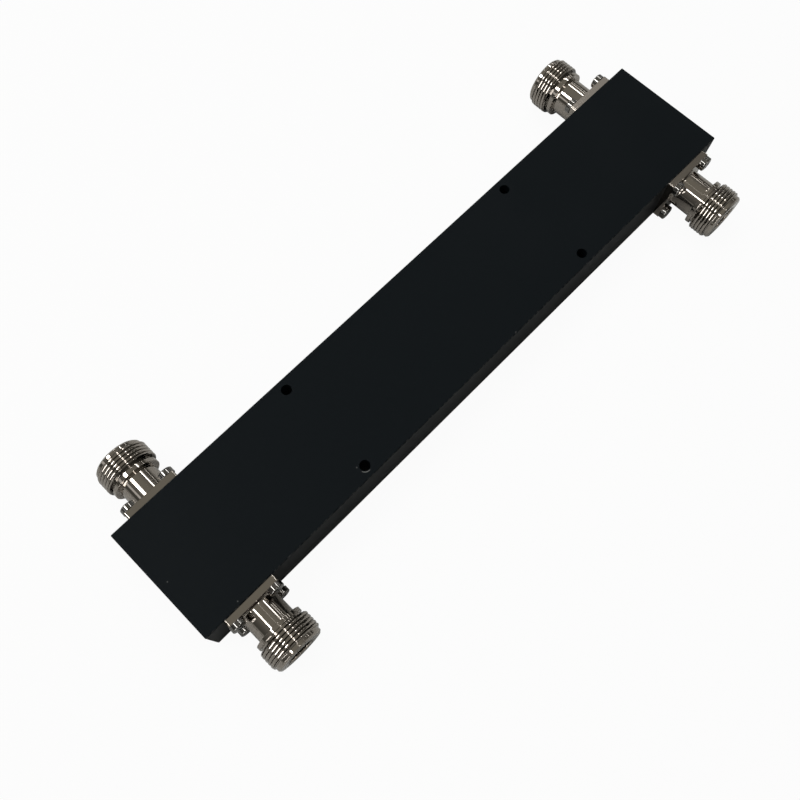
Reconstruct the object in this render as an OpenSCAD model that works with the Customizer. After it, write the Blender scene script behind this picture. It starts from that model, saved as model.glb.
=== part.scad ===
// Four-port hybrid coupler: a milled bar with two coaxial sockets on each long side.
// Millimetres. X runs along the bar, the sockets face -Y and +Y, and Z is up.
// The origin is the centre of the underside.

/* [Housing] */
// Length of the bar
body_l = 205; // [198:1:260]
// Width of the bar
body_w = 36.5; // [36:0.5:60]
// Height of the bar
body_h = 17.4; // [17.4:0.2:30]
// Chamfer along every outer edge of the bar
edge_chamfer = 0.25; // [0.1:0.05:0.6]
// Thickness of the roof over the pocket
roof_t = 2.5; // [1.5:0.1:4]
// Width of the pocket
pocket_w = 17.2; // [15:0.2:17.6]
// Corner radius of the pocket
pocket_r = 3; // [1.5:0.5:5]
// Thickness of the wall at each end of the pocket
end_wall = 8.5; // [6:0.5:9]

/* [Mounting holes] */
// Hole spacing along the bar
mount_dx = 88; // [40:1:140]
// Hole spacing across the bar
mount_dy = 30; // [29.2:0.2:31.6]
// Diameter of the through holes
mount_d = 3; // [2.2:0.1:3.4]

/* [Cover] */
// Thickness of the cover plate
cover_t = 2; // [1.2:0.1:3]
// Width of the ledge that carries the cover
ledge_w = 4.3; // [3.9:0.1:4.5]
// Gap all round between the cover and its recess
cover_gap = 0.1; // [0.05:0.05:0.2]
// Spacing of the screws along the long edges
cover_screw_step = 24; // [18:1:26]
// Radial clearance of the screws in the cover
cover_hole_gap = 0.1; // [0.05:0.05:0.3]

/* [Ports] */
// Distance from the end of the bar to the axis of a connector
port_end = 14.1; // [12.5:0.1:24]

/* [Connector shell] */
// Side of the square flange
flange_w = 16.6; // [15.8:0.2:17.2]
// Thickness of the flange
flange_t = 2; // [1.5:0.1:3]
// Corner radius of the flange
flange_r = 0.6; // [0.2:0.1:1.5]
// Side of the square on which the flange screws lie
flange_pitch = 12.7; // [12.3:0.1:12.9]
// Diameter of the screw holes in the flange
flange_hole_d = 2.7; // [2.6:0.1:3.2]
// Diameter of the barrel
barrel_d = 11.5; // [10.8:0.1:12]
// Length of the barrel from the flange to the collar
barrel_l = 7.4; // [6:0.1:12]
// Fillet between the barrel and the flange
root_fillet = 0.5; // [0.2:0.1:0.6]
// Diameter of the collar behind the thread
collar_d = 14.4; // [13.4:0.1:15.4]
// Length of the collar
collar_l = 1.2; // [0.6:0.1:3]
// Diameter of the relief groove behind the thread
relief_d = 13.2; // [12.6:0.1:14]
// Length of the relief groove
relief_l = 0.8; // [0.4:0.1:2]
// Outside diameter of the thread
thread_d = 15.88; // [15.28:0.02:16.4]
// Pitch of the thread
thread_pitch = 1.058; // [0.8:0.001:1.5]
// Length of the thread
thread_l = 5.1; // [4:0.1:8]
// Length of the plain nose in front of the thread
nose_l = 1.5; // [1:0.1:3]
// Chamfer at the tip of the nose
nose_chamfer = 0.5; // [0.2:0.1:0.8]
// Diameter of the socket
socket_d = 8.1; // [7.6:0.1:9]
// Depth of the socket from the tip
socket_depth = 9.1; // [7:0.1:10]
// Chamfer at the mouth of the socket
socket_chamfer = 0.3; // [0.1:0.1:0.6]
// Diameter of the bore behind the socket floor
line_bore_d = 7; // [6:0.1:7.4]

/* [Insulators and contact] */
// Diameter of both insulators
bead_d = 8.8; // [8:0.1:9.2]
// Front face of the front insulator, from the back of the flange
bead_front = 6.5; // [5:0.1:7.5]
// Plane where the front and the wall insulator meet, from the back of the flange
bead_split = 1; // [0.5:0.1:1.5]
// Radial clearance between a part and the hole that holds it
fit_gap = 0.02; // [0.01:0.01:0.05]
// Diameter of the centre contact
contact_d = 3.04; // [2.6:0.02:3.2]
// Length of the contact that stands above the socket floor
contact_reach = 4.8; // [4:0.1:4.9]
// Diameter of the bore in the contact
contact_bore_d = 1.66; // [1.5:0.02:1.8]
// Depth of the bore in the contact
contact_bore_l = 6; // [5:0.1:7]
// Width of the slots in the contact
slot_w = 0.3; // [0.2:0.05:0.5]
// Length of the slots in the contact
slot_l = 4.5; // [3:0.1:4.8]
// Diameter of the collar that holds the contact between the insulators
stop_d = 4.6; // [4:0.1:5.4]
// Length of that collar
stop_l = 1.2; // [0.8:0.1:2]
// Diameter of the solder tail
tail_d = 2; // [1.6:0.1:2.4]

/* [Lines] */
// Thickness of the strip conductors
line_t = 0.8; // [0.5:0.1:1.2]
// Gap between the upper and the lower line
line_gap = 0.8; // [0.4:0.1:1.2]
// Length of the middle section, where the lines lie face to face
middle_l = 34; // [24:1:44]
// Length of each intermediate section
side_l = 28; // [20:1:32]
// Line width in the middle section
middle_w = 6; // [5:0.1:7]
// Line width in the intermediate sections
side_w = 6.4; // [5:0.1:7]
// Line width in the outer sections
outer_w = 6.8; // [6:0.1:7.2]
// Sideways shift of a line in the intermediate sections
side_shift = 1; // [0.5:0.1:1.5]
// Sideways shift of a line in the outer sections
outer_shift = 1.8; // [1.4:0.1:2]
// Width of the feed that reaches the contact
feed_w = 3.6; // [2.4:0.1:4]
// Distance of the feed's centre from the middle of the pocket
feed_y = 4.8; // [4:0.1:5]
// Distance from the end of the outer section to the axis of the connector
feed_l = 16; // [14:0.5:20]

/* [Supports] */
// Diameter of the pegs and the spacer rings
peg_d = 4.8; // [4:0.1:6]
// Diameter of the spigot that passes through a line
spigot_d = 1.6; // [1.2:0.1:1.8]
// Radial clearance of the spigots
spigot_gap = 0.05; // [0.02:0.01:0.1]

/* [Screws] */
// Thread diameter of the flange screws
flange_screw_d = 2.5; // [2:0.1:2.5]
// Head diameter of the flange screws
flange_head_d = 4.5; // [4:0.1:4.7]
// Head height of the flange screws
flange_head_h = 1.9; // [1.4:0.1:2.4]
// Height of the domed end of a flange screw head
flange_crown = 0.45; // [0.2:0.05:0.8]
// Length of the flange screws under the head
flange_screw_l = 6; // [4:0.5:6.5]
// Length of the cross recess in the flange screws
flange_cross_l = 2.5; // [1.8:0.1:3]
// Width of the cross recess in the flange screws
flange_cross_w = 0.6; // [0.4:0.05:0.8]
// Depth of the cross recess in the flange screws
flange_cross_h = 1; // [0.5:0.1:1.2]
// Thread diameter of the cover screws
cover_screw_d = 2; // [1.6:0.1:2.2]
// Head diameter of the cover screws
cover_head_d = 3.6; // [3:0.1:3.8]
// Overall length of the cover screws
cover_screw_l = 6; // [4:0.5:6]
// Length of the cross recess in the cover screws
cover_cross_l = 1.9; // [1.4:0.1:2.2]
// Width of the cross recess in the cover screws
cover_cross_w = 0.45; // [0.3:0.05:0.6]
// Depth of the cross recess in the cover screws
cover_cross_h = 0.7; // [0.4:0.1:0.9]
// Spare depth of the tapped holes beyond the screws
tap_spare = 0.8; // [0.4:0.1:1]

/* [Hidden] */
$fn = 64;
// Overshoot of a cutter past the face that it cuts
cut = 1;

port_x = body_l / 2 - port_end;
port_z = body_h / 2;
// Side of the bar, X sign then Y sign, for each port
PORT_A = [-1, -1];
PORT_B = [1, -1];
PORT_C = [-1, 1];
PORT_D = [1, 1];

pocket_l = body_l - 2 * end_wall;
pocket_h = body_h - cover_t - roof_t;
recess_l = pocket_l + 2 * ledge_w;
recess_w = pocket_w + 2 * ledge_w;
side_wall = (body_w - pocket_w) / 2;

// Stations along a connector, from the back of its flange
collar_z = flange_t + barrel_l;
relief_z = collar_z + collar_l;
thread_z = relief_z + relief_l;
nose_z = thread_z + thread_l;
tip_z = nose_z + nose_l;
socket_z = tip_z - socket_depth;
// Radial height of the thread, from crest to root, as a share of its pitch and in millimetres
thread_share = 0.6134;
thread_depth = thread_share * thread_pitch;
nose_d = thread_d - 2 * thread_depth;
tail_end_z = feed_y - feed_w / 2 - body_w / 2;
contact_tip_z = socket_z + contact_reach;

// Heights of the two lines, seen from the axis of the connectors
line_low = line_gap / 2;
line_high = line_gap / 2 + line_t;
outer_x = port_x - feed_l;
peg_x = [0, (middle_l + side_l) / 2, (middle_l / 2 + side_l + outer_x) / 2];
PEG_POSITIONS = [-peg_x[2], -peg_x[1], peg_x[0], peg_x[1], peg_x[2]];

// Cover screws: a row along each long edge, clear of the connector bores, and three at each end
port_clear = 5;
side_rows = floor((port_x - bead_d / 2 - port_clear) / cover_screw_step);
screw_y = (pocket_w + ledge_w) / 2;
screw_x = (pocket_l + ledge_w) / 2;
COVER_SCREWS = concat(
    [for (i = [-side_rows:side_rows], s = [-1, 1]) [i * cover_screw_step, s * screw_y]],
    [for (s = [-1, 1], k = [-1, 0, 1]) [s * screw_x, k * screw_y]]);
cover_head_h = (cover_head_d - cover_screw_d) / 2;
// Depth of the tapped holes for the flange screws, from the side of the bar
flange_tap = flange_screw_l - flange_t + tap_spare;

BLACK = "#1b1f21";
NICKEL = "#a39c90";
STEEL = "#b9b9b6";
PTFE = "#f2f2ee";
GOLD = "#d9b45a";
SILVER = "#cfcfcb";

module rounded_rect(l, w, r) {
    square([l - 2 * r, w], center = true);
    square([l, w - 2 * r], center = true);
    for (x = [-1, 1], y = [-1, 1])
        translate([x * (l / 2 - r), y * (w / 2 - r)]) circle(r);
}

module chamfered_rect(l, w, c) {
    polygon([[-l / 2 + c, -w / 2], [l / 2 - c, -w / 2], [l / 2, -w / 2 + c], [l / 2, w / 2 - c],
             [l / 2 - c, w / 2], [-l / 2 + c, w / 2], [-l / 2, w / 2 - c], [-l / 2, -w / 2 + c]]);
}

// Block with all twelve edges chamfered, standing on Z = 0
module chamfered_block(l, w, h, c) {
    intersection() {
        linear_extrude(h) chamfered_rect(l, w, c);
        rotate([90, 0, 0]) translate([0, h / 2, -w / 2]) linear_extrude(w) chamfered_rect(l, h, c);
        rotate([90, 0, 90]) translate([0, h / 2, -l / 2]) linear_extrude(l) chamfered_rect(w, h, c);
    }
}

// Frame of a port: Z points out along the connector from the side of the bar
module at_port(p) {
    translate([p[0] * port_x, p[1] * body_w / 2, port_z]) rotate([-90 * p[1], 0, 0]) children();
}

module at_flange_screws() {
    for (x = [-1, 1], y = [-1, 1]) translate([x * flange_pitch / 2, y * flange_pitch / 2, 0]) children();
}

module at_mount_holes() {
    for (x = [-1, 1], y = [-1, 1]) translate([x * mount_dx / 2, y * mount_dy / 2, 0]) children();
}

// Cutter for a cross recess, with the face of the head at Z = 0
module cross_recess(l, w, h) {
    for (a = [0, 90]) rotate([0, 0, a]) translate([-l / 2, -w / 2, -h]) cube([l, w, h + cut]);
}

module housing() {
    color(BLACK) difference() {
        chamfered_block(body_l, body_w, body_h, edge_chamfer);
        translate([0, 0, cover_t]) linear_extrude(pocket_h) rounded_rect(pocket_l, pocket_w, pocket_r);
        translate([0, 0, -cut]) linear_extrude(cover_t + cut) rounded_rect(recess_l, recess_w, pocket_r);
        at_mount_holes() translate([0, 0, -cut]) cylinder(h = body_h + 2 * cut, d = mount_d);
        for (p = [PORT_A, PORT_B, PORT_C, PORT_D]) at_port(p) {
            translate([0, 0, -side_wall - cut]) cylinder(h = side_wall + 2 * cut, d = bead_d);
            at_flange_screws() translate([0, 0, -flange_tap])
                cylinder(h = flange_tap + cut, d = flange_screw_d + 2 * fit_gap);
        }
        for (c = COVER_SCREWS) translate([c[0], c[1], 0])
            cylinder(h = cover_screw_l + tap_spare, d = cover_screw_d + 2 * fit_gap);
    }
}

module cover_plate() {
    color(BLACK) difference() {
        linear_extrude(cover_t)
            rounded_rect(recess_l - 2 * cover_gap, recess_w - 2 * cover_gap, pocket_r - cover_gap);
        for (c = COVER_SCREWS) translate([c[0], c[1], 0]) {
            translate([0, 0, -cut]) cylinder(h = cover_t + 2 * cut, d = cover_screw_d + 2 * cover_hole_gap);
            cylinder(h = cover_head_h, d1 = cover_head_d + 2 * fit_gap, d2 = cover_screw_d + 2 * fit_gap);
        }
    }
}

module cover_screws() {
    color(STEEL) for (c = COVER_SCREWS) translate([c[0], c[1], 0]) difference() {
        union() {
            cylinder(h = cover_head_h, d1 = cover_head_d, d2 = cover_screw_d);
            cylinder(h = cover_screw_l, d = cover_screw_d);
        }
        mirror([0, 0, 1]) cross_recess(cover_cross_l, cover_cross_w, cover_cross_h);
    }
}

// Strip for the sockets on the -Y side: three stepped sections each way, then a mitred feed
module line_outline() {
    x = [middle_l / 2, middle_l / 2 + side_l, outer_x, port_x + feed_w / 2];
    w = [middle_w, side_w, outer_w];
    shift = [0, side_shift, outer_shift];
    inner = [for (i = [0:2]) w[i] / 2 - shift[i]];
    outer = [for (i = [0:2]) -w[i] / 2 - shift[i]];
    feed_in = feed_w / 2 - feed_y;
    feed_out = -feed_w / 2 - feed_y;
    half = [[x[0], inner[0]], [x[0], inner[1]], [x[1], inner[1]], [x[1], inner[2]], [x[2], inner[2]],
            [x[2] + inner[2] - feed_in, feed_in], [x[3], feed_in], [x[3], feed_out],
            [x[2] + outer[2] - feed_out, feed_out], [x[2], outer[2]],
            [x[1], outer[2]], [x[1], outer[1]], [x[0], outer[1]], [x[0], outer[0]]];
    difference() {
        polygon(concat(half, [for (i = [len(half) - 1:-1:0]) [-half[i][0], half[i][1]]]));
        for (px = PEG_POSITIONS) translate([px, 0]) circle(d = spigot_d + 2 * spigot_gap);
    }
}

module upper_line() {
    color(SILVER) translate([0, 0, port_z + line_low]) linear_extrude(line_t) line_outline();
}

module lower_line() {
    color(SILVER) translate([0, 0, port_z - line_high]) linear_extrude(line_t)
        mirror([0, 1]) line_outline();
}

module line_spacers() {
    color(PTFE) for (px = PEG_POSITIONS) translate([px, 0, port_z - line_low]) difference() {
        cylinder(h = line_gap, d = peg_d);
        translate([0, 0, -cut]) cylinder(h = line_gap + 2 * cut, d = spigot_d + 2 * spigot_gap);
    }
}

// Peg that stands on a line, with its spigot reaching down almost to the axis
module support(height) {
    translate([0, 0, line_high]) cylinder(h = height, d = peg_d);
    translate([0, 0, spigot_gap]) cylinder(h = line_high + height - spigot_gap, d = spigot_d);
}

module roof_supports() {
    color(PTFE) for (px = PEG_POSITIONS) translate([px, 0, port_z])
        support(body_h - roof_t - port_z - line_high);
}

module cover_supports() {
    color(PTFE) for (px = PEG_POSITIONS) translate([px, 0, port_z]) mirror([0, 0, 1])
        support(port_z - line_high - cover_t);
}

// Outline of the turned part of the shell, from the back of the flange to the tip
module shell_profile() {
    barrel_r = barrel_d / 2;
    polygon(concat(
        [[0, 0], [barrel_r + root_fillet, 0]],
        [for (a = [0:15:90])
            [barrel_r + root_fillet * (1 - sin(a)), flange_t + root_fillet * (1 - cos(a))]],
        [[barrel_r, collar_z], [collar_d / 2, collar_z], [collar_d / 2, relief_z],
         [relief_d / 2, relief_z], [relief_d / 2, thread_z], [nose_d / 2, thread_z],
         [thread_d / 2, thread_z + thread_depth], [thread_d / 2, nose_z - thread_depth],
         [nose_d / 2, nose_z], [nose_d / 2, tip_z - nose_chamfer],
         [nose_d / 2 - nose_chamfer, tip_z], [0, tip_z]]));
}

module shell() {
    difference() {
        union() {
            linear_extrude(flange_t) rounded_rect(flange_w, flange_w, flange_r);
            rotate_extrude() shell_profile();
        }
        translate([0, 0, socket_z]) cylinder(h = socket_depth + cut, d = socket_d);
        translate([0, 0, tip_z - socket_chamfer])
            cylinder(h = socket_chamfer + cut, d1 = socket_d, d2 = socket_d + 2 * (socket_chamfer + cut));
        translate([0, 0, bead_front - cut]) cylinder(h = socket_z - bead_front + 2 * cut, d = line_bore_d);
        translate([0, 0, -cut]) cylinder(h = bead_front + cut, d = bead_d);
        at_flange_screws() translate([0, 0, -cut]) cylinder(h = flange_t + 2 * cut, d = flange_hole_d);
    }
}

// Bead that carries the contact in the barrel, with a seat at its back for the contact's collar
module front_insulator() {
    difference() {
        translate([0, 0, bead_split]) cylinder(h = bead_front - bead_split, d = bead_d - 2 * fit_gap);
        cylinder(h = bead_front + cut, d = contact_d + 2 * fit_gap);
        cylinder(h = bead_split + stop_l, d = stop_d + 2 * fit_gap);
    }
}

// Sleeve that leads the tail through the side wall
module wall_insulator() {
    difference() {
        translate([0, 0, -side_wall]) cylinder(h = side_wall + bead_split, d = bead_d - 2 * fit_gap);
        translate([0, 0, -side_wall - cut])
            cylinder(h = side_wall + bead_split + 2 * cut, d = tail_d + 2 * fit_gap);
    }
}

// Slotted socket in front, collar in the middle, solder tail with a flat for the line behind
module centre_contact() {
    difference() {
        rotate_extrude() polygon([
            [0, tail_end_z], [tail_d / 2, tail_end_z], [tail_d / 2, bead_split],
            [stop_d / 2, bead_split], [stop_d / 2, bead_split + stop_l],
            [contact_d / 2, bead_split + stop_l], [contact_d / 2, contact_tip_z], [0, contact_tip_z]]);
        translate([0, 0, contact_tip_z - contact_bore_l])
            cylinder(h = contact_bore_l + cut, d = contact_bore_d);
        for (a = [45, 135]) rotate([0, 0, a])
            translate([-contact_d, -slot_w / 2, contact_tip_z - slot_l])
                cube([2 * contact_d, slot_w, slot_l + cut]);
        translate([-tail_d, line_low, tail_end_z - cut]) cube([2 * tail_d, tail_d, feed_w + cut]);
    }
}

// Pan-head screws with their heads on the flange: a straight rim, then a quarter ellipse to the flat top
module flange_screws() {
    head_r = flange_head_d / 2;
    head_z = flange_t + flange_head_h;
    at_flange_screws() difference() {
        rotate_extrude() polygon(concat(
            [[0, flange_t - flange_screw_l], [flange_screw_d / 2, flange_t - flange_screw_l],
             [flange_screw_d / 2, flange_t], [head_r, flange_t]],
            [for (a = [0:15:90]) [head_r / 2 * (1 + cos(a)), head_z - flange_crown * (1 - sin(a))]],
            [[0, head_z]]));
        translate([0, 0, head_z]) cross_recess(flange_cross_l, flange_cross_w, flange_cross_h);
    }
}

module shell_at(p) { color(NICKEL) at_port(p) shell(); }
module front_insulator_at(p) { color(PTFE) at_port(p) front_insulator(); }
module wall_insulator_at(p) { color(PTFE) at_port(p) wall_insulator(); }
module centre_contact_at(p) { color(GOLD) at_port(p) centre_contact(); }
module flange_screws_at(p) { color(STEEL) at_port(p) flange_screws(); }

housing();
cover_plate();
cover_screws();
upper_line();
lower_line();
line_spacers();
roof_supports();
cover_supports();
shell_at(PORT_A);  // connector_shell_a
shell_at(PORT_B);  // connector_shell_b
shell_at(PORT_C);  // connector_shell_c
shell_at(PORT_D);  // connector_shell_d
front_insulator_at(PORT_A);  // front_insulator_a
front_insulator_at(PORT_B);  // front_insulator_b
front_insulator_at(PORT_C);  // front_insulator_c
front_insulator_at(PORT_D);  // front_insulator_d
wall_insulator_at(PORT_A);  // wall_insulator_a
wall_insulator_at(PORT_B);  // wall_insulator_b
wall_insulator_at(PORT_C);  // wall_insulator_c
wall_insulator_at(PORT_D);  // wall_insulator_d
centre_contact_at(PORT_A);  // centre_contact_a
centre_contact_at(PORT_B);  // centre_contact_b
centre_contact_at(PORT_C);  // centre_contact_c
centre_contact_at(PORT_D);  // centre_contact_d
flange_screws_at(PORT_A);  // flange_screws_a
flange_screws_at(PORT_B);  // flange_screws_b
flange_screws_at(PORT_C);  // flange_screws_c
flange_screws_at(PORT_D);  // flange_screws_d
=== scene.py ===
import math

import bmesh
import bpy
from mathutils import Matrix, Vector


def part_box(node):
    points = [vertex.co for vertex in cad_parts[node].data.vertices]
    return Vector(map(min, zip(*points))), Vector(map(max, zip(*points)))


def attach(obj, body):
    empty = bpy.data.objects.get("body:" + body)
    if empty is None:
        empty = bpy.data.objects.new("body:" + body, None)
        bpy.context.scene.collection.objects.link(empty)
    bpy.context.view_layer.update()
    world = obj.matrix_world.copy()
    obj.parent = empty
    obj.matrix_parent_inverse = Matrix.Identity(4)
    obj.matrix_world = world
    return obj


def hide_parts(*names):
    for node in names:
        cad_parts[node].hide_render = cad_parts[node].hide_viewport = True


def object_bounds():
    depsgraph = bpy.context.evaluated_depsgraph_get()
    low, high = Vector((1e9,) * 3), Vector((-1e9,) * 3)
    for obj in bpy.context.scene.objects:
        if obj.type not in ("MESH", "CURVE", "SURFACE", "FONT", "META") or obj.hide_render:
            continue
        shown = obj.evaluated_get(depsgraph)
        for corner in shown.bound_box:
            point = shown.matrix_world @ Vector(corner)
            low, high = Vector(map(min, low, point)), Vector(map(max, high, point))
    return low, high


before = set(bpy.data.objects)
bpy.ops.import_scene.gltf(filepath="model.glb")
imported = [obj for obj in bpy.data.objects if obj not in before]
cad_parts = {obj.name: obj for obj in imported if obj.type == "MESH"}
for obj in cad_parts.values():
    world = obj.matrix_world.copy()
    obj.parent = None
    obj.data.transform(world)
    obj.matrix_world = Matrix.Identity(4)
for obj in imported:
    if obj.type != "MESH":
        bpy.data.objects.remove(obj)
cad_low, cad_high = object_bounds()

# Lengths below are in millimetres, and MM turns them to the frame's metres
MM = 0.001
TO_METRES = Matrix.Scale(MM, 4)

# Camera, in the frame of the bar, found from the corners of the bar in the photograph
CAMERA_PLACE = (-79.78, -59.06, 236.19)
CAMERA_TURN = (18.822, -0.712, -45.678)
CAMERA_LENS = 38.57
CAMERA_SENSOR = 36

# Letter of each socket and the side of the bar that it stands on
PORTS = {"a": -1, "b": -1, "c": 1, "d": 1}

# Turned shell of a socket, as stations from the back of its flange
FLANGE_T = 2
FLANGE_CORNER = 0.6
FLANGE_EDGE = 0.06
BARREL_R = 5.75
BARREL_END = 9.4
ROOT_FILLET = 0.5
COLLAR_R = 7.2
COLLAR_END = 10.6
RELIEF_R = 6.6
THREAD_START = 11.4
THREAD_R = 7.94
THREAD_L = 5.1
THREAD_PITCH = 1.058
# Depth of a new thread of this pitch, which the nose is turned down by
THREAD_DEPTH = 0.649
# The grooves, matched to the photograph: their depth, the share of it that the round crests take up, and
# where the narrow groove starts and ends, in turns from the middle of a crest
GROOVE_DEPTH = 0.34
CREST_SHARE = 0.49
GROOVE_FROM = 0.33
GROOVE_TO = 0.49
NOSE_CHAMFER = 0.5
# A surface closer to the axis than this belongs to the socket and not to the thread
NOSE_INNER_R = 6
SOCKET_R = 4.05
SOCKET_L = 9.1
SOCKET_CHAMFER = 0.3
LINE_BORE_R = 3.5
BEAD_R = 4.4
BEAD_FRONT = 6.5
# Radius that the lathe tool leaves on every turned corner
TURNED_EDGE = 0.06
# Corners of the shells and of the screws, and profile points in one turn of the thread
SEGMENTS = 128
SCREW_SEGMENTS = 48
THREAD_STEPS = 24
# Points closer than this are one, and a bend of more degrees than this is a sharp edge
MERGE_DISTANCE = 0.0005
SHARP_ANGLE = 38

# Screws that hold the flanges
FLANGE_PITCH = 12.7
FLANGE_HOLE_R = 1.35
PAN_R = 2.25
PAN_H = 1.9
PAN_CROWN = 0.45
PAN_SHANK_R = 1.25
PAN_SHANK_L = 6
PAN_CROSS = (2.5, 0.6, 1.0)

# Screws that hold the cover: their step along the bar, and how many stand on each side of the middle one
COVER_STEP = 24
COVER_ROWS = 3
COVER_Y = 10.75
COVER_END_X = 96.15
COVER_HEAD_R = 1.8
COVER_SHANK_R = 1.0
COVER_SCREW_L = 6
COVER_CROSS = (1.9, 0.45, 0.7)
# Share of its mouth that a cross recess keeps at its bottom, and how far its cutter stands out of the head
CROSS_TAPER = 0.45
CROSS_OVERLAP = 0.2
# Seeds for the turns of the crosses
PAN_SEED = 3
COVER_SEED = 5

# How far from the long top edges the chips and the painted edge highlight reach: strongest up to the first,
# none from the second
EDGE_WEAR_AND_HIGHLIGHT = (0.08, 0.22)
# Hole whose rim is scraped, the middle of the scrape, and specks of dust, all on the top face
WORN_HOLE = (-44, -15, 17.4)
SCRAPE = (-45.0, -16.6, 17.4)
DUST_SPECKS = ((-99.9, -1.0, 17.4), (-90.8, -17.1, 17.4), (-45.9, -13.9, 17.4), (12.3, -17.9, 17.4))
# Radii between which the worn ring starts and ends, the scrape fades and a speck fades
RING_START = (1.65, 1.75)
RING_END = (1.8, 1.95)
SCRAPE_FADE = (0.8, 1.4)
SPECK_FADE = (0.08, 0.25)
# How much of the paint is gone at the scrape, and how pale a speck is
SCRAPE_STRENGTH = 0.42
SPECK_STRENGTH = 0.2

# Height of the lamp tubes over the bench, and half the side of the paper floor, in metres
TUBE_HEIGHT = 0.75
FLOOR_HALF = 15
# Gap in millimetres that keeps the floor clear of the underside
FLOOR_GAP = 0.05
# The dim room from the horizon up: sine of the height angle, and the light as linear red, green, blue and alpha
ROOM = ((0.0, (0.42, 0.42, 0.4, 1)), (0.08, (0.37, 0.37, 0.35, 1)), (0.2, (0.07, 0.07, 0.06, 1)),
        (0.55, (0.135, 0.132, 0.118, 1)), (0.78, (0.22, 0.213, 0.192, 1)), (0.93, (0.31, 0.3, 0.26, 1)))
# Share of the floor's white that glows, seen straight and in gloss; the rest takes the shadow
GLOW_IN_VIEW = 0.95
GLOW_IN_GLOSS = 0.03
# Share of the white surroundings beyond the floor that gloss shows; the rest is the dim room
WALL_IN_GLOSS = 0.03


def linear(hex_colour):
    """An sRGB hex colour as linear red, green, blue and alpha."""
    channels = [int(hex_colour[i:i + 2], 16) / 255 for i in (1, 3, 5)]
    return [c / 12.92 if c <= 0.04045 else ((c + 0.055) / 1.055) ** 2.4 for c in channels] + [1]


def grain(size):
    """Scale of a texture whose features are about this many millimetres wide."""
    return 1 / (size * MM)


def add_node(tree, kind, links=None, **settings):
    """A new node with its settings. links maps an input to a value, a socket or a node's first output."""
    node = tree.nodes.new(kind)
    for name, value in settings.items():
        setattr(node, name, value)
    for key, value in (links or {}).items():
        if isinstance(value, bpy.types.Node):
            value = value.outputs[0]
        if isinstance(value, bpy.types.NodeSocket):
            tree.links.new(value, node.inputs[key])
        else:
            node.inputs[key].default_value = value
    return node


def faded(tree, value, span, start, end):
    """start below the value's span, end above it and a straight blend between. span is in millimetres."""
    return add_node(tree, "ShaderNodeMapRange",
                    {"Value": value, "From Min": span[0] * MM, "From Max": span[1] * MM,
                     "To Min": start, "To Max": end})


def white_share(tree, in_view, in_gloss):
    """How white the surroundings are, to the camera and in gloss or glass. 0 in their light on the object."""
    path = add_node(tree, "ShaderNodeLightPath")
    mirrored = add_node(tree, "ShaderNodeMath",
                        {0: path.outputs["Is Glossy Ray"], 1: path.outputs["Is Transmission Ray"]},
                        operation="MAXIMUM")
    glossy = add_node(tree, "ShaderNodeMath", {0: mirrored, 1: in_gloss}, operation="MULTIPLY")
    return add_node(tree, "ShaderNodeMath",
                    {0: path.outputs["Is Camera Ray"], 1: in_view, 2: glossy}, operation="MULTIPLY_ADD")


def new_material(name):
    """An empty material with its output node and its Principled shader."""
    material = bpy.data.materials.new(name)
    material.use_nodes = True
    tree = material.node_tree
    tree.nodes.clear()
    shader = add_node(tree, "ShaderNodeBsdfPrincipled")
    add_node(tree, "ShaderNodeOutputMaterial", {"Surface": shader})
    return material, tree, shader


def paint_wear_and_edge_highlight(tree, place):
    """1 where the paint is gone or dusty at one hole's rim and a few specks, and along the long top edges,
    where chips and a painted edge highlight lighten it. 0 elsewhere.
    """
    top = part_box("housing")[1]
    folded = add_node(tree, "ShaderNodeVectorMath", {0: place}, operation="ABSOLUTE")
    inward = add_node(tree, "ShaderNodeVectorMath", {0: top, 1: folded}, operation="SUBTRACT")
    depth = add_node(tree, "ShaderNodeSeparateXYZ", {0: inward})
    from_edge = add_node(tree, "ShaderNodeMath", {0: depth.outputs[1], 1: depth.outputs[2]},
                         operation="MAXIMUM")
    # Along the long top edges: a faint painted highlight line all the way, and chips of bare metal where the
    # noise is high
    near_edge = faded(tree, from_edge, EDGE_WEAR_AND_HIGHLIGHT, 1, 0)
    chips = add_node(tree, "ShaderNodeTexNoise", {"Vector": place, "Scale": grain(0.9), "Detail": 4})
    chips_and_edge_highlight = add_node(tree, "ShaderNodeMapRange",
                       {"Value": chips, "From Min": 0.45, "From Max": 0.75, "To Min": 0.01, "To Max": 0.5})
    edge = add_node(tree, "ShaderNodeMath", {0: near_edge, 1: chips_and_edge_highlight}, operation="MULTIPLY")

    # The screw that once sat in this hole scraped its rim on one side
    hole = add_node(tree, "ShaderNodeVectorMath", {0: place, 1: Vector(WORN_HOLE) * MM}, operation="DISTANCE")
    ring_low = faded(tree, hole.outputs["Value"], RING_START, 0, 1)
    ring_high = faded(tree, hole.outputs["Value"], RING_END, 1, 0)
    scrape = add_node(tree, "ShaderNodeVectorMath", {0: place, 1: Vector(SCRAPE) * MM}, operation="DISTANCE")
    scraped = faded(tree, scrape.outputs["Value"], SCRAPE_FADE, SCRAPE_STRENGTH, 0)
    rim = add_node(tree, "ShaderNodeMath", {0: ring_low, 1: ring_high}, operation="MULTIPLY")
    rim_worn = add_node(tree, "ShaderNodeMath", {0: rim, 1: scraped}, operation="MULTIPLY")
    wear_and_edge_highlight = add_node(tree, "ShaderNodeMath", {0: edge, 1: rim_worn}, operation="MAXIMUM")
    for speck in DUST_SPECKS:
        away = add_node(tree, "ShaderNodeVectorMath", {0: place, 1: Vector(speck) * MM}, operation="DISTANCE")
        dot = faded(tree, away.outputs["Value"], SPECK_FADE, SPECK_STRENGTH, 0)
        wear_and_edge_highlight = add_node(tree, "ShaderNodeMath", {0: wear_and_edge_highlight, 1: dot}, operation="MAXIMUM")
    return wear_and_edge_highlight


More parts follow.
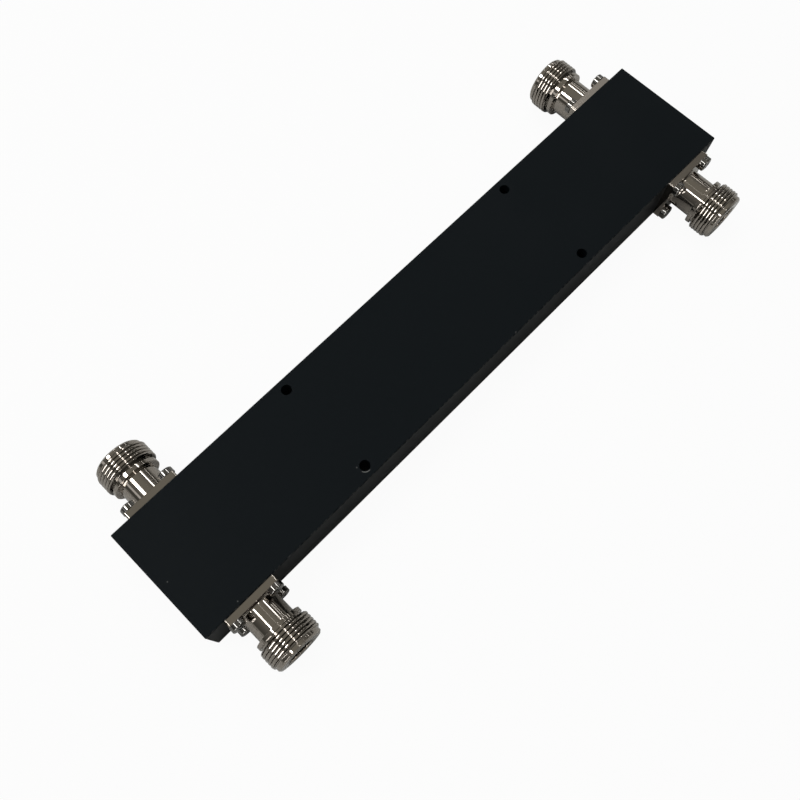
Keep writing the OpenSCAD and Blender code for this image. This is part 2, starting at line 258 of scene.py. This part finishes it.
def satin_black_paint():
    """Satin black paint sprayed on milled aluminium: even, faintly pebbled, worn grey at a hole, and grey along
    the long top edges from chips and a painted edge highlight.
    """
    material, tree, shader = new_material("satin_black_paint")
    place = add_node(tree, "ShaderNodeTexCoord").outputs["Object"]
    wear_and_edge_highlight = paint_wear_and_edge_highlight(tree, place)
    # The grey is bare metal and dust, and along the long top edges it is also a painted edge highlight
    colour = add_node(tree, "ShaderNodeMix", {0: wear_and_edge_highlight, 6: linear("#080d10"), 7: linear("#9a9b98")},
                      data_type="RGBA")
    pebble = add_node(tree, "ShaderNodeTexNoise", {"Vector": place, "Scale": grain(0.45), "Detail": 2})
    cloud = add_node(tree, "ShaderNodeTexNoise", {"Vector": place, "Scale": grain(28), "Detail": 3})
    sheen = add_node(tree, "ShaderNodeMapRange",
                     {"Value": cloud, "From Min": 0.3, "From Max": 0.7, "To Min": 0.46, "To Max": 0.53})
    bump = add_node(tree, "ShaderNodeBump", {"Height": pebble, "Strength": 0.12, "Distance": 0.02 * MM})
    shader.inputs["Specular IOR Level"].default_value = 0.06
    tree.links.new(colour.outputs[2], shader.inputs["Base Color"])
    tree.links.new(sheen.outputs[0], shader.inputs["Roughness"])
    tree.links.new(bump.outputs[0], shader.inputs["Normal"])
    return material


def groove_shade(tree, place):
    """Painted shade for the four threads: 0 in their grooves, rising to 1 on their crests, and 1 everywhere
    else.
    """
    low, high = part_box("connector_shell_d")
    axis = Vector(((low.x + high.x) / 2, 0, (low.z + high.z) / 2))
    folded = add_node(tree, "ShaderNodeVectorMath", {0: place}, operation="ABSOLUTE")
    from_axis = add_node(tree, "ShaderNodeVectorMath", {0: folded, 1: axis}, operation="SUBTRACT")
    flat = add_node(tree, "ShaderNodeVectorMath", {0: from_axis, 1: (1, 0, 1)}, operation="MULTIPLY")
    radius = add_node(tree, "ShaderNodeVectorMath", {0: flat}, operation="LENGTH").outputs["Value"]
    height = add_node(tree, "ShaderNodeMapRange",
                      {"Value": radius, "From Min": (THREAD_R - 0.9 * GROOVE_DEPTH) * MM,
                       "From Max": (THREAD_R - 0.45 * GROOVE_DEPTH) * MM, "To Min": 0, "To Max": 1})
    inside = add_node(tree, "ShaderNodeMath", {0: radius, 1: NOSE_INNER_R * MM}, operation="LESS_THAN")
    along = add_node(tree, "ShaderNodeSeparateXYZ", {0: folded}).outputs[1]
    before = add_node(tree, "ShaderNodeMath", {0: along, 1: low.y + THREAD_START * MM}, operation="LESS_THAN")
    after = add_node(tree, "ShaderNodeMath", {0: along, 1: low.y + (THREAD_START + THREAD_L) * MM},
                     operation="GREATER_THAN")
    beyond = add_node(tree, "ShaderNodeMath", {0: before, 1: after}, operation="MAXIMUM")
    plain = add_node(tree, "ShaderNodeMath", {0: beyond, 1: inside}, operation="MAXIMUM")
    return add_node(tree, "ShaderNodeMath", {0: height, 1: plain}, operation="MAXIMUM")


def nickel_plated_brass():
    """Bright nickel on turned brass: warm grey, with fine lathe rings, and painted shade darkening the thread's
    grooves.
    """
    material, tree, shader = new_material("nickel_plated_brass")
    place = add_node(tree, "ShaderNodeTexCoord").outputs["Object"]
    crest = groove_shade(tree, place)
    # Painted shade: the darker colour in the thread's grooves
    colour = add_node(tree, "ShaderNodeMix", {0: crest, 6: linear("#57534e"), 7: linear("#9f9890")},
                      data_type="RGBA")
    along = add_node(tree, "ShaderNodeMapping", {"Vector": place, "Scale": (0.02, 1, 0.02)})
    rings = add_node(tree, "ShaderNodeTexNoise", {"Vector": along, "Scale": grain(0.12), "Detail": 2})
    rough = add_node(tree, "ShaderNodeMapRange",
                     {"Value": rings, "From Min": 0.3, "From Max": 0.7, "To Min": 0.05, "To Max": 0.08})
    bump = add_node(tree, "ShaderNodeBump", {"Height": rings, "Strength": 0.1, "Distance": 0.004 * MM})
    shader.inputs["Metallic"].default_value = 1
    tree.links.new(colour.outputs[2], shader.inputs["Base Color"])
    tree.links.new(rough.outputs[0], shader.inputs["Roughness"])
    tree.links.new(bump.outputs[0], shader.inputs["Normal"])
    return material


def plated_steel():
    """Nickel-plated steel of a small machine screw, smooth from the heading die."""
    material, tree, shader = new_material("plated_steel")
    place = add_node(tree, "ShaderNodeTexCoord").outputs["Object"]
    smudge = add_node(tree, "ShaderNodeTexNoise", {"Vector": place, "Scale": grain(0.6), "Detail": 2})
    rough = add_node(tree, "ShaderNodeMapRange",
                     {"Value": smudge, "From Min": 0.3, "From Max": 0.7, "To Min": 0.07, "To Max": 0.11})
    shader.inputs["Base Color"].default_value = linear("#767471")
    shader.inputs["Metallic"].default_value = 1
    tree.links.new(rough.outputs[0], shader.inputs["Roughness"])
    return material


def gold_plate():
    """Gold plate on the turned beryllium copper contacts: yellow, smooth and slightly uneven."""
    material, tree, shader = new_material("gold_plate")
    place = add_node(tree, "ShaderNodeTexCoord").outputs["Object"]
    smudge = add_node(tree, "ShaderNodeTexNoise", {"Vector": place, "Scale": grain(0.5), "Detail": 2})
    rough = add_node(tree, "ShaderNodeMapRange",
                     {"Value": smudge, "From Min": 0.3, "From Max": 0.7, "To Min": 0.18, "To Max": 0.3})
    shader.inputs["Base Color"].default_value = linear("#e8c067")
    shader.inputs["Metallic"].default_value = 1
    tree.links.new(rough.outputs[0], shader.inputs["Roughness"])
    return material


def silver_plate():
    """Silver plate on the milled copper strips, a little dulled by the air."""
    material, tree, shader = new_material("silver_plate")
    place = add_node(tree, "ShaderNodeTexCoord").outputs["Object"]
    tarnish = add_node(tree, "ShaderNodeTexNoise", {"Vector": place, "Scale": grain(6), "Detail": 4})
    colour = add_node(tree, "ShaderNodeMix", {0: tarnish, 6: linear("#d8d4ca"), 7: linear("#efeeea")},
                      data_type="RGBA")
    shader.inputs["Metallic"].default_value = 1
    shader.inputs["Roughness"].default_value = 0.28
    tree.links.new(colour.outputs[2], shader.inputs["Base Color"])
    return material


def white_ptfe():
    """PTFE rod, machined: chalky white, waxy, letting a little light in."""
    material, tree, shader = new_material("white_ptfe")
    place = add_node(tree, "ShaderNodeTexCoord").outputs["Object"]
    marks = add_node(tree, "ShaderNodeTexNoise", {"Vector": place, "Scale": grain(0.4), "Detail": 2})
    rough = add_node(tree, "ShaderNodeMapRange",
                     {"Value": marks, "From Min": 0.3, "From Max": 0.7, "To Min": 0.4, "To Max": 0.55})
    shader.inputs["Base Color"].default_value = linear("#eeeeea")
    shader.inputs["IOR"].default_value = 1.38
    shader.inputs["Subsurface Weight"].default_value = 0.3
    shader.inputs["Subsurface Radius"].default_value = (0.6 * MM, 0.6 * MM, 0.5 * MM)
    shader.inputs["Subsurface Scale"].default_value = 1
    tree.links.new(rough.outputs[0], shader.inputs["Roughness"])
    return material


def ring(bm, radius, z, centre=(0, 0), count=SEGMENTS):
    """A loop of vertices round a circle."""
    angles = [2 * math.pi * k / count for k in range(count)]
    return [bm.verts.new((centre[0] + radius * math.cos(a), centre[1] + radius * math.sin(a), z))
            for a in angles]


def square_ring(bm, half, corner, z, steps=8):
    """A loop of vertices round a square with rounded corners.

    A point close to each end of a corner keeps the flat sides shaded flat.
    """
    points = []
    for quarter in range(4):
        middle = math.radians(45 + 90 * quarter)
        centre = Vector((math.copysign(half - corner, math.cos(middle)),
                         math.copysign(half - corner, math.sin(middle)), z))
        arc = []
        for k in range(steps + 1):
            a = math.radians(90 * quarter + 90 * k / steps)
            arc.append(centre + corner * Vector((math.cos(a), math.sin(a), 0)))
        along = Vector((math.cos(middle - math.pi / 4), math.sin(middle - math.pi / 4), 0))
        across = Vector((-along.y, along.x, 0))
        points += [arc[0] - TURNED_EDGE * across] + arc + [arc[-1] - TURNED_EDGE * along]
    return [bm.verts.new(point) for point in points]


def bands(bm, loops):
    """Faces between each loop and the next."""
    for first, second in zip(loops, loops[1:]):
        count = len(first)
        for k in range(count):
            bm.faces.new((first[k], first[(k + 1) % count], second[(k + 1) % count], second[k]))


def plate(bm, loops):
    """Flat faces inside the first loop and outside the others."""
    edges = []
    for loop in loops:
        for a, b in zip(loop, loop[1:] + loop[:1]):
            edges.append(bm.edges.get((a, b)) or bm.edges.new((a, b)))
    bmesh.ops.triangle_fill(bm, use_beauty=True, use_dissolve=False, edges=edges)


def eased(points, radius, steps=3):
    """A profile with each inner corner turned to a small arc. points are (radius, station).

    A point close to each end of an arc keeps the faces beside it shaded straight.
    """
    profile = [points[0]]
    for before, corner, after in zip(points, points[1:], points[2:]):
        corner = Vector(corner)
        back, ahead = Vector(before) - corner, Vector(after) - corner
        bend = math.pi - back.angle(ahead)
        reach = min(radius * math.tan(bend / 2), 0.4 * back.length, 0.4 * ahead.length)
        start, end = corner + back.normalized() * reach, corner + ahead.normalized() * reach
        profile.append(tuple(start + back * 0.05))
        for k in range(steps + 1):
            share = k / steps
            bow = 2 * share * (1 - share) * corner
            profile.append(tuple((1 - share) ** 2 * start + bow + share ** 2 * end))
        profile.append(tuple(end + ahead * 0.05))
    return profile + [points[-1]]


def finished(bm, name):
    """The mesh of a bmesh in millimetres: doubles merged, faces outward, smooth between sharp edges."""
    bmesh.ops.remove_doubles(bm, verts=bm.verts, dist=MERGE_DISTANCE)
    bmesh.ops.recalc_face_normals(bm, faces=bm.faces)
    mesh = bpy.data.meshes.new(name)
    bm.to_mesh(mesh)
    bm.free()
    mesh.shade_smooth()
    mesh.set_sharp_from_angle(angle=math.radians(SHARP_ANGLE))
    return mesh


def shown(name, mesh):
    """An object for the mesh, linked to the scene."""
    piece = bpy.data.objects.new(name, mesh)
    bpy.context.scene.collection.objects.link(piece)
    return piece


def evaluated_mesh(piece):
    """The piece's mesh with its modifiers applied."""
    graph = bpy.context.evaluated_depsgraph_get()
    return bpy.data.meshes.new_from_object(piece.evaluated_get(graph))


def run_nodes(piece, tree, values):
    """Puts the result of a node tree into the piece's mesh. values maps the tree's input names to values."""
    modifier = piece.modifiers.new(tree.name, "NODES")
    modifier.node_group = tree
    for item in tree.interface.items_tree:
        if item.item_type == "SOCKET" and item.in_out == "INPUT" and item.name in values:
            modifier[item.identifier] = values[item.name]
    mesh = evaluated_mesh(piece)
    piece.modifiers.remove(modifier)
    piece.data = mesh
    return piece


def new_tree(name, sockets):
    """An empty geometry tree with its named inputs, and its group input node."""
    tree = bpy.data.node_groups.new(name, "GeometryNodeTree")
    tree.is_modifier = True
    tree.interface.new_socket("Geometry", in_out="OUTPUT", socket_type="NodeSocketGeometry")
    tree.interface.new_socket("Geometry", in_out="INPUT", socket_type="NodeSocketGeometry")
    for socket, kind in sockets.items():
        tree.interface.new_socket(socket, in_out="INPUT", socket_type="NodeSocket" + kind)
    return tree, add_node(tree, "NodeGroupInput").outputs


def thread_tree():
    """A screw thread round Z: rows of points that climb one pitch in a turn, cut off square at both ends.

    Sizes are in millimetres. A column of points runs along the axis, and a row climbs round it.
    """
    tree, given = new_tree("screw_thread", {
        "Root radius": "Float", "Depth": "Float", "Pitch": "Float", "Length": "Float",
        "Segments": "Int", "Steps in a turn": "Int", "Material": "Material"})

    # Rows that cover the whole length and one turn more, for the climb
    turns = add_node(tree, "ShaderNodeMath", {0: given["Length"], 1: given["Pitch"]}, operation="DIVIDE")
    steps = add_node(tree, "ShaderNodeMath", {0: turns, 1: 1, 2: 1}, operation="MULTIPLY_ADD")
    rows = add_node(tree, "ShaderNodeMath", {0: steps, 1: given["Steps in a turn"]}, operation="MULTIPLY")
    whole = add_node(tree, "ShaderNodeMath", {0: rows}, operation="CEIL")
    row_points = add_node(tree, "ShaderNodeMath", {0: whole, 1: 1}, operation="ADD")
    columns = add_node(tree, "ShaderNodeMath", {0: given["Segments"], 1: 1}, operation="ADD")
    grid = add_node(tree, "GeometryNodeMeshGrid", {"Vertices X": columns, "Vertices Y": row_points})

    # Column and row of each point
    index = add_node(tree, "GeometryNodeInputIndex")
    share = add_node(tree, "ShaderNodeMath", {0: index, 1: row_points}, operation="DIVIDE")
    column = add_node(tree, "ShaderNodeMath", {0: share}, operation="FLOOR")
    row = add_node(tree, "ShaderNodeMath", {0: index, 1: row_points}, operation="MODULO")
    around = add_node(tree, "ShaderNodeMath", {0: column, 1: given["Segments"]}, operation="DIVIDE")
    climb = add_node(tree, "ShaderNodeMath", {0: row, 1: given["Steps in a turn"]}, operation="DIVIDE")

    # Height along the axis, kept between the two ends
    lift = add_node(tree, "ShaderNodeMath", {0: climb, 1: around}, operation="ADD")
    lowered = add_node(tree, "ShaderNodeMath", {0: lift, 1: 1}, operation="SUBTRACT")
    height = add_node(tree, "ShaderNodeMath", {0: lowered, 1: given["Pitch"]}, operation="MULTIPLY")
    along = add_node(tree, "ShaderNodeClamp", {0: height, 1: 0.0, 2: given["Length"]})

    # Broad round crest and narrow groove, which run out at both ends
    phase = add_node(tree, "ShaderNodeMath", {0: climb}, operation="FRACT")
    centred = add_node(tree, "ShaderNodeMath", {0: phase, 1: 0.5}, operation="SUBTRACT")
    from_crest = add_node(tree, "ShaderNodeMath", {0: centred}, operation="ABSOLUTE")
    groove = add_node(tree, "ShaderNodeMapRange",
                      {"Value": from_crest, "From Min": GROOVE_FROM, "From Max": GROOVE_TO,
                       "To Min": 1, "To Max": CREST_SHARE}, interpolation_type="SMOOTHSTEP")
    squared = add_node(tree, "ShaderNodeMath", {0: from_crest, 1: 2}, operation="POWER")
    tooth = add_node(tree, "ShaderNodeMath", {0: squared, 1: -4 * CREST_SHARE, 2: groove},
                     operation="MULTIPLY_ADD")
    left = add_node(tree, "ShaderNodeMath", {0: given["Length"], 1: along}, operation="SUBTRACT")
    near_end = add_node(tree, "ShaderNodeMath", {0: along, 1: left}, operation="MINIMUM")
    fade = add_node(tree, "ShaderNodeMapRange",
                    {"Value": near_end, "From Min": 0, "From Max": given["Depth"], "To Min": 0, "To Max": 1})
    cut_tooth = add_node(tree, "ShaderNodeMath", {0: tooth, 1: fade}, operation="MINIMUM")
    radius = add_node(tree, "ShaderNodeMath", {0: cut_tooth, 1: given["Depth"], 2: given["Root radius"]},
                      operation="MULTIPLY_ADD")

    angle = add_node(tree, "ShaderNodeMath", {0: around, 1: math.tau}, operation="MULTIPLY")
    cosine = add_node(tree, "ShaderNodeMath", {0: angle}, operation="COSINE")
    sine = add_node(tree, "ShaderNodeMath", {0: angle}, operation="SINE")
    x = add_node(tree, "ShaderNodeMath", {0: cosine, 1: radius}, operation="MULTIPLY")
    y = add_node(tree, "ShaderNodeMath", {0: sine, 1: radius}, operation="MULTIPLY")
    place = add_node(tree, "ShaderNodeCombineXYZ", {0: x, 1: y, 2: along})
    wrapped = add_node(tree, "GeometryNodeSetPosition", {"Geometry": grid, "Position": place})
    closed = add_node(tree, "GeometryNodeMergeByDistance", {"Geometry": wrapped, "Distance": MERGE_DISTANCE})
    real = add_node(tree, "GeometryNodeRealizeInstances", {0: closed})
    dressed = add_node(tree, "GeometryNodeSetMaterial", {"Geometry": real, "Material": given["Material"]})
    add_node(tree, "NodeGroupOutput", {0: dressed})
    return tree


def screw_tree():
    """Screws on points: each stands on the point's outward direction, with its cross turned at random."""
    tree, given = new_tree("screws_on_points", {"Screw": "Object", "Seed": "Int", "Material": "Material"})
    screw = add_node(tree, "GeometryNodeObjectInfo", {"Object": given["Screw"]})
    outward = add_node(tree, "GeometryNodeInputNamedAttribute", {"Name": "outward"}, data_type="FLOAT_VECTOR")
    upright = add_node(tree, "FunctionNodeAlignRotationToVector", {"Vector": outward}, axis="Z")
    turn = add_node(tree, "FunctionNodeRandomValue", {"Max": math.pi, "Seed": given["Seed"]},
                    data_type="FLOAT")
    turn_output = next(s for s in turn.outputs if s.enabled)
    spin = add_node(tree, "FunctionNodeAxisAngleToRotation", {"Axis": (0, 0, 1), "Angle": turn_output})
    turned = add_node(tree, "FunctionNodeRotateRotation", {0: upright, 1: spin}, rotation_space="LOCAL")
    points = add_node(tree, "GeometryNodeMeshToPoints", {"Mesh": given["Geometry"]})
    placed = add_node(tree, "GeometryNodeInstanceOnPoints",
                      {"Points": points, "Instance": screw.outputs["Geometry"], "Rotation": turned})
    real = add_node(tree, "GeometryNodeRealizeInstances", {0: placed})
    dressed = add_node(tree, "GeometryNodeSetMaterial", {"Geometry": real, "Material": given["Material"]})
    add_node(tree, "NodeGroupOutput", {0: dressed})
    return tree


def shell_mesh(material):
    """The turned shell in its own frame, in millimetres: flange on Z = 0, thread and socket above."""
    flange_low, flange_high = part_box("connector_shell_a")
    half = (flange_high.x - flange_low.x) / 2 / MM
    tip = (flange_high.y - flange_low.y) / MM
    nose_r = THREAD_R - THREAD_DEPTH
    groove_r = THREAD_R - GROOVE_DEPTH
    thread_end = THREAD_START + THREAD_L
    fillet = [(BARREL_R + ROOT_FILLET * (1 - math.sin(a)), FLANGE_T + ROOT_FILLET * (1 - math.cos(a)))
              for a in (math.radians(15 * k) for k in range(7))]
    behind = [(BARREL_R + ROOT_FILLET + TURNED_EDGE, FLANGE_T)] + fillet + eased([
        (BARREL_R, FLANGE_T + ROOT_FILLET + TURNED_EDGE), (BARREL_R, BARREL_END), (COLLAR_R, BARREL_END),
        (COLLAR_R, COLLAR_END), (RELIEF_R, COLLAR_END), (RELIEF_R, THREAD_START), (groove_r, THREAD_START)],
        TURNED_EDGE)
    ahead = eased([
        (groove_r, thread_end), (nose_r, thread_end), (nose_r, tip - NOSE_CHAMFER),
        (nose_r - NOSE_CHAMFER, tip), (SOCKET_R + SOCKET_CHAMFER, tip),
        (SOCKET_R, tip - SOCKET_CHAMFER), (SOCKET_R, tip - SOCKET_L),
        (LINE_BORE_R, tip - SOCKET_L), (LINE_BORE_R, BEAD_FRONT), (BEAD_R, BEAD_FRONT), (BEAD_R, 0)],
        TURNED_EDGE)

    bm = bmesh.new()
    barrel = [ring(bm, r, z) for r, z in behind]
    nose = [ring(bm, r, z) for r, z in ahead]
    bands(bm, barrel)
    bands(bm, nose)
    rims = [(half - FLANGE_EDGE, 0), (half, FLANGE_EDGE), (half, FLANGE_T - FLANGE_EDGE),
            (half - FLANGE_EDGE, FLANGE_T)]
    outline = [square_ring(bm, h, FLANGE_CORNER + h - half, z) for h, z in rims]
    bands(bm, outline)
    holes = []
    for x in (-1, 1):
        for y in (-1, 1):
            centre = (x * FLANGE_PITCH / 2, y * FLANGE_PITCH / 2)
            hole = [ring(bm, FLANGE_HOLE_R, z, centre, SEGMENTS // 4) for z in (0, FLANGE_T)]
            bands(bm, hole)
            holes.append(hole)
    plate(bm, [outline[0], nose[-1]] + [hole[0] for hole in holes])
    plate(bm, [outline[-1], barrel[0]] + [hole[1] for hole in holes])

    thread = run_nodes(shown("thread", bpy.data.meshes.new("thread")), thread_tree(), {
        "Root radius": groove_r, "Depth": GROOVE_DEPTH, "Pitch": THREAD_PITCH,
        "Length": float(THREAD_L), "Segments": SEGMENTS, "Steps in a turn": THREAD_STEPS,
        "Material": material})
    thread.data.transform(Matrix.Translation((0, 0, THREAD_START)))
    bm.from_mesh(thread.data)
    bpy.data.objects.remove(thread)
    return finished(bm, "shell")


def cross_cutter(size):
    """A cross that narrows downwards, to cut a recess in a screw head whose face is on Z = 0."""
    length, width, depth = size
    bm = bmesh.new()
    loops = []
    for z, share in ((CROSS_OVERLAP, 1.0), (0, 1.0), (-depth, CROSS_TAPER)):
        a, b = length / 2 * share, width / 2 * (0.5 + share / 2)
        corners = [(a, -b), (a, b), (b, b), (b, a), (-b, a), (-b, b),
                   (-a, b), (-a, -b), (-b, -b), (-b, -a), (b, -a), (b, -b)]
        loops.append([bm.verts.new((x, y, z)) for x, y in corners])
    bands(bm, loops)
    bm.faces.new(loops[0])
    bm.faces.new(loops[-1])
    return finished(bm, "cross")


def screw_piece(name, profile, cross):
    """A screw whose head has its face on Z = 0, turned from its profile and cut with a cross recess."""
    bm = bmesh.new()
    loops = [ring(bm, r, z, count=SCREW_SEGMENTS) for r, z in profile]
    bands(bm, loops)
    bm.faces.new(loops[0])
    bm.faces.new(loops[-1])
    screw = shown(name, finished(bm, name))
    cutter = shown("cutter", cross_cutter(cross))
    modifier = screw.modifiers.new("recess", "BOOLEAN")
    modifier.operation, modifier.solver, modifier.object = "DIFFERENCE", "EXACT", cutter
    mesh = evaluated_mesh(screw)
    screw.modifiers.remove(modifier)
    bpy.data.objects.remove(cutter)
    mesh.shade_smooth()
    mesh.set_sharp_from_angle(angle=math.radians(SHARP_ANGLE))
    mesh.transform(TO_METRES)
    screw.data = mesh
    return screw


def screws_on(name, seats, screw, seed, material):
    """One piece of screws. seats are pairs of a head's place and its outward direction, in metres."""
    mesh = bpy.data.meshes.new(name)
    mesh.from_pydata([place for place, _ in seats], [], [])
    outward = mesh.attributes.new("outward", "FLOAT_VECTOR", "POINT")
    for k, (_, direction) in enumerate(seats):
        outward.data[k].vector = direction
    piece = run_nodes(shown(name, mesh), screw_tree(),
                      {"Screw": screw, "Seed": seed, "Material": material})
    bpy.data.objects.remove(screw)
    return piece


def port_matrix(letter):
    """From the frame of a socket, with Z outward, to the frame of the bar, both in metres."""
    side = PORTS[letter]
    low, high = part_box("connector_shell_" + letter)
    face = low.y if side > 0 else high.y
    return (Matrix.Translation(((low.x + high.x) / 2, face, (low.z + high.z) / 2))
            @ Matrix.Rotation(math.radians(-90 * side), 4, "X"))


def make_shells(material):
    """The four turned shells with their threads, each in the place of its plain one."""
    shell = shell_mesh(material)
    shell.materials.append(material)
    for letter in PORTS:
        mesh = shell.copy()
        mesh.transform(port_matrix(letter) @ TO_METRES)
        piece = shown("threaded_shell_" + letter, mesh)
        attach(piece, "root")
        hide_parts("connector_shell_" + letter)


def make_flange_screws(material):
    """Sixteen pan-head screws, four on each flange, with a straight rim and a domed face."""
    crown = [(PAN_R / 2 * (1 + math.cos(a)), -PAN_CROWN * (1 - math.sin(a)))
             for a in (math.radians(10 * k) for k in range(10))]
    profile = eased([(PAN_SHANK_R, -PAN_H - PAN_SHANK_L), (PAN_SHANK_R, -PAN_H), (PAN_R, -PAN_H),
                     (PAN_R, -PAN_CROWN - TURNED_EDGE)], TURNED_EDGE) + crown
    screw = screw_piece("pan_screw", profile, PAN_CROSS)
    seats = []
    for letter in PORTS:
        matrix = port_matrix(letter)
        for x in (-1, 1):
            for y in (-1, 1):
                local = Vector((x * FLANGE_PITCH / 2, y * FLANGE_PITCH / 2, FLANGE_T + PAN_H)) * MM
                seats.append((matrix @ local, matrix.to_3x3() @ Vector((0, 0, 1))))
    piece = screws_on("pan_screws", seats, screw, PAN_SEED, material)
    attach(piece, "root")
    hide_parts(*["flange_screws_" + letter for letter in PORTS])


def make_cover_screws(material):
    """Twenty countersunk screws flush with the underside, in two rows and across both ends."""
    head_h = COVER_HEAD_R - COVER_SHANK_R
    profile = [(COVER_SHANK_R, -COVER_SCREW_L), (COVER_SHANK_R, -head_h), (COVER_HEAD_R, 0)]
    screw = screw_piece("countersunk_screw", profile, COVER_CROSS)
    columns = range(-COVER_ROWS, COVER_ROWS + 1)
    places = [(k * COVER_STEP, side * COVER_Y) for k in columns for side in (-1, 1)]
    places += [(end * COVER_END_X, row * COVER_Y) for end in (-1, 1) for row in (-1, 0, 1)]
    seats = [(Vector((x, y, 0)) * MM, Vector((0, 0, -1))) for x, y in places]
    piece = screws_on("countersunk_screws", seats, screw, COVER_SEED, material)
    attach(piece, "root")
    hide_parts("cover_screws")


def dress(names, material):
    """Gives CAD nodes their material."""
    for name in names:
        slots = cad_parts[name].data.materials
        slots.clear()
        slots.append(material)


def make_camera():
    """The camera of the photograph."""
    data = bpy.data.cameras.new("camera")
    data.lens, data.sensor_width = CAMERA_LENS, CAMERA_SENSOR
    camera = bpy.data.objects.new("camera", data)
    camera.location = Vector(CAMERA_PLACE) * MM
    camera.rotation_euler = [math.radians(a) for a in CAMERA_TURN]
    data.clip_start, data.clip_end = 0.01, 50
    bpy.context.scene.collection.objects.link(camera)
    bpy.context.scene.camera = camera


def ceiling_tube(name, x, y_range, width, radiance):
    """A long lamp that hangs level over the bench and runs along Y. Lengths are in metres."""
    data = bpy.data.lights.new(name, "AREA")
    data.shape = "RECTANGLE"
    data.size, data.size_y = width, y_range[1] - y_range[0]
    data.energy = radiance * math.pi * data.size * data.size_y
    lamp = bpy.data.objects.new(name, data)
    lamp.location = (x, sum(y_range) / 2, TUBE_HEIGHT)
    lamp.visible_camera = False
    bpy.context.scene.collection.objects.link(lamp)


def soft_box(name, place, size, radiance, mirrored=True, lights=True):
    """A broad lamp that faces the object, seen in its gloss or not. Lengths are in metres."""
    data = bpy.data.lights.new(name, "AREA")
    data.shape = "RECTANGLE"
    data.size, data.size_y = size
    data.energy = radiance * math.pi * size[0] * size[1]
    lamp = bpy.data.objects.new(name, data)
    lamp.location = place
    lamp.rotation_euler = (-Vector(place)).to_track_quat("-Z", "Y").to_euler()
    lamp.visible_camera = False
    lamp.visible_glossy = mirrored
    lamp.visible_diffuse = lights
    bpy.context.scene.collection.objects.link(lamp)


def make_lights():
    """Tubes that draw the long bright lines on the barrels, a dim panel and reflector, and two soft boxes."""
    ceiling_tube("left_tube_front", -0.44, (0.03, 0.24), 0.085, 14)
    ceiling_tube("left_tube_back", -0.41, (0.24, 0.45), 0.22, 14)
    ceiling_tube("left_panel", -1.25, (0.38, 0.95), 0.5, 0.8)
    ceiling_tube("right_tube", 0.535, (0.118, 0.45), 0.07, 14)
    ceiling_tube("right_reflector", 0.67, (0.2, 0.46), 0.2, 0.33)
    ceiling_tube("right_tube_far", 1.05, (0.12, 0.5), 0.05, 5)
    ceiling_tube("right_tube_farther", 1.75, (0.12, 0.9), 0.06, 5)
    ceiling_tube("middle_tube_front", 0.1, (-0.7, 0.0), 0.05, 8)
    ceiling_tube("middle_tube_back", 0.12, (0.42, 1.0), 0.07, 8)
    ceiling_tube("middle_slit", 0.04, (0.0, 0.12), 0.012, 1.2)
    soft_box("left_window", (-1.45, -0.3, 0.78), (0.52, 1.0), 9, lights=False)
    soft_box("top_box", (0.1, 0.5, 1.3), (1.2, 0.9), 3.2, mirrored=False)


def make_world():
    """White behind the object; a dim warm room with a pale floor line in its light and its gloss."""
    world = bpy.data.worlds.new("studio")
    world.use_nodes = True
    tree = world.node_tree
    tree.nodes.clear()
    direction = add_node(tree, "ShaderNodeTexCoord").outputs["Generated"]
    split = add_node(tree, "ShaderNodeSeparateXYZ", {0: direction})
    room = add_node(tree, "ShaderNodeValToRGB", {0: split.outputs[2]})
    while len(room.color_ramp.elements) < len(ROOM):
        room.color_ramp.elements.new(1)
    for element, (height, colour) in zip(room.color_ramp.elements, ROOM):
        element.position, element.color = height, colour
    dim = add_node(tree, "ShaderNodeBackground", {"Color": room, "Strength": 1})
    white = add_node(tree, "ShaderNodeBackground", {"Color": (1, 1, 1, 1), "Strength": 1})
    share = white_share(tree, 1, WALL_IN_GLOSS)
    mix = add_node(tree, "ShaderNodeMixShader", {0: share, 1: dim, 2: white})
    add_node(tree, "ShaderNodeOutputWorld", {"Surface": mix})
    bpy.context.scene.world = world


def make_floor():
    """White paper floor: it glows white to the camera and a little in gloss, and takes a soft shadow."""
    bm = bmesh.new()
    bmesh.ops.create_grid(bm, x_segments=1, y_segments=1, size=FLOOR_HALF)
    mesh = bpy.data.meshes.new("floor")
    bm.to_mesh(mesh)
    bm.free()
    mesh.transform(Matrix.Translation((0, 0, cad_low.z - FLOOR_GAP * MM)))
    floor = shown("floor", mesh)
    material = bpy.data.materials.new("white_paper")
    material.use_nodes = True
    tree = material.node_tree
    tree.nodes.clear()
    paper = add_node(tree, "ShaderNodeBsdfDiffuse", {"Color": linear("#b0b1b0")})
    glow = add_node(tree, "ShaderNodeEmission", {"Color": (1, 1, 1, 1), "Strength": 1})
    share = white_share(tree, GLOW_IN_VIEW, GLOW_IN_GLOSS)
    mix = add_node(tree, "ShaderNodeMixShader", {0: share, 1: paper, 2: glow})
    add_node(tree, "ShaderNodeOutputMaterial", {"Surface": mix})
    mesh.materials.append(material)


make_camera()
make_world()
make_lights()
make_floor()
nickel = nickel_plated_brass()
steel = plated_steel()
make_shells(nickel)
make_flange_screws(steel)
make_cover_screws(steel)
dress(["housing", "cover_plate"], satin_black_paint())
dress(["upper_line", "lower_line"], silver_plate())
dress(["centre_contact_" + letter for letter in PORTS], gold_plate())
dress(["line_spacers", "roof_supports", "cover_supports"]
      + ["front_insulator_" + letter for letter in PORTS]
      + ["wall_insulator_" + letter for letter in PORTS], white_ptfe())

bpy.context.scene.view_settings.view_transform = "Standard"
